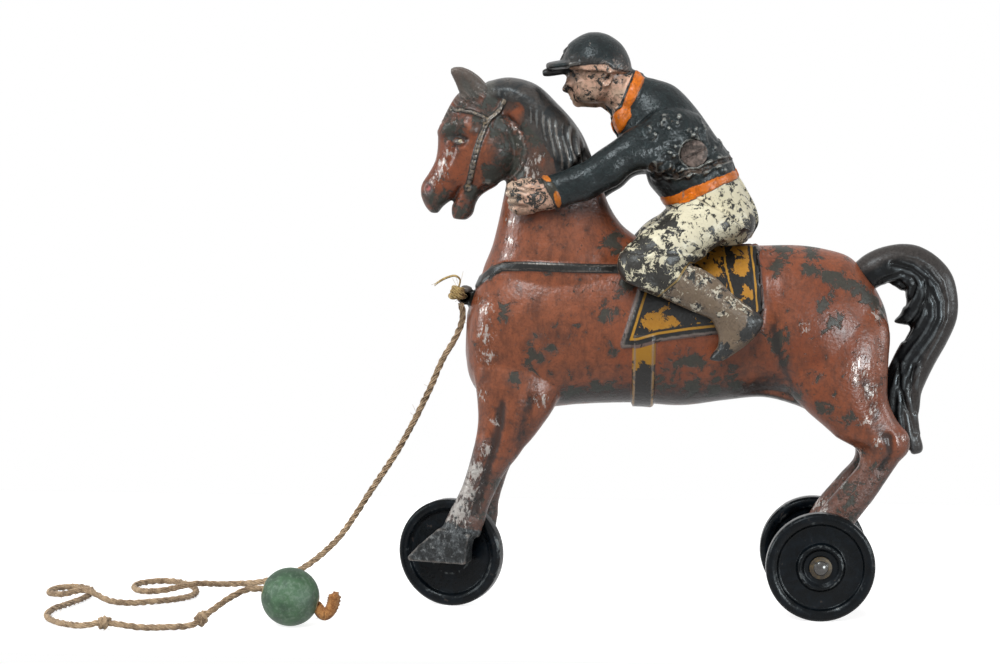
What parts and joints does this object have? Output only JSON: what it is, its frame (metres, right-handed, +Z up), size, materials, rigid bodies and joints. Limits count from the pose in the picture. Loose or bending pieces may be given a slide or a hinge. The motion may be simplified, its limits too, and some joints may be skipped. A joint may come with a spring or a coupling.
{
  "type": "pull toy",
  "caption": "Cast iron pull toy of a jockey crouched on a striding horse that rolls on small dished wheels, with a twine pull string that ends in a round bead.",
  "frame": {"origin": "on the floor, in the parting plane of the castings, midway between the front wheel's front edge and the rear of the tail", "axes": "+Z up; -X is ahead, the way the horse faces; -Y is the horse's left, the side with the screw head"},
  "size_m": [0.3041, 0.0861, 0.1918],
  "materials": {
    "horse_paint": "satin",
    "tail_paint": "satin",
    "jockey_paint": "satin",
    "wheel_paint": "satin",
    "steel": "matte",
    "twine": "matte",
    "stained_twine": "matte",
    "bead_paint": "satin"
  },
  "bodies": {
    "horse_and_jockey": {"horse_left_half": "horse_paint", "horse_right_half": "horse_paint", "tail": "tail_paint", "jockey_left_half": "jockey_paint", "jockey_right_half": "jockey_paint", "jockey_screw": "steel", "body_rivet": "steel", "front_axle": "steel", "rear_axle": "steel", "eye_knot": "twine", "pull_string": "twine", "string_knot_far": "twine", "string_knot_near": "twine", "pull_bead": "bead_paint", "stop_knot": "stained_twine"},
    "front_wheel_body": {"front_wheel": "wheel_paint"},
    "rear_left_wheel_body": {"rear_wheel_left": "wheel_paint"},
    "rear_right_wheel_body": {"rear_wheel_right": "wheel_paint"}
  },
  "joints": [
    {"name": "front_wheel_spin", "type": "hinge", "parent": "horse_and_jockey", "child": "front_wheel_body", "pos_m": [-0.0741, 0, 0.018], "axis": [0.309, 0.9511, 0], "continuous": true},
    {"name": "rear_left_wheel_spin", "type": "hinge", "parent": "horse_and_jockey", "child": "rear_left_wheel_body", "pos_m": [0.0483, -0.018, 0.018], "axis": [0, 1, 0], "continuous": true},
    {"name": "rear_right_wheel_spin", "type": "hinge", "parent": "horse_and_jockey", "child": "rear_right_wheel_body", "pos_m": [0.0483, 0.018, 0.018], "axis": [0, 1, 0], "continuous": true}
  ]
}
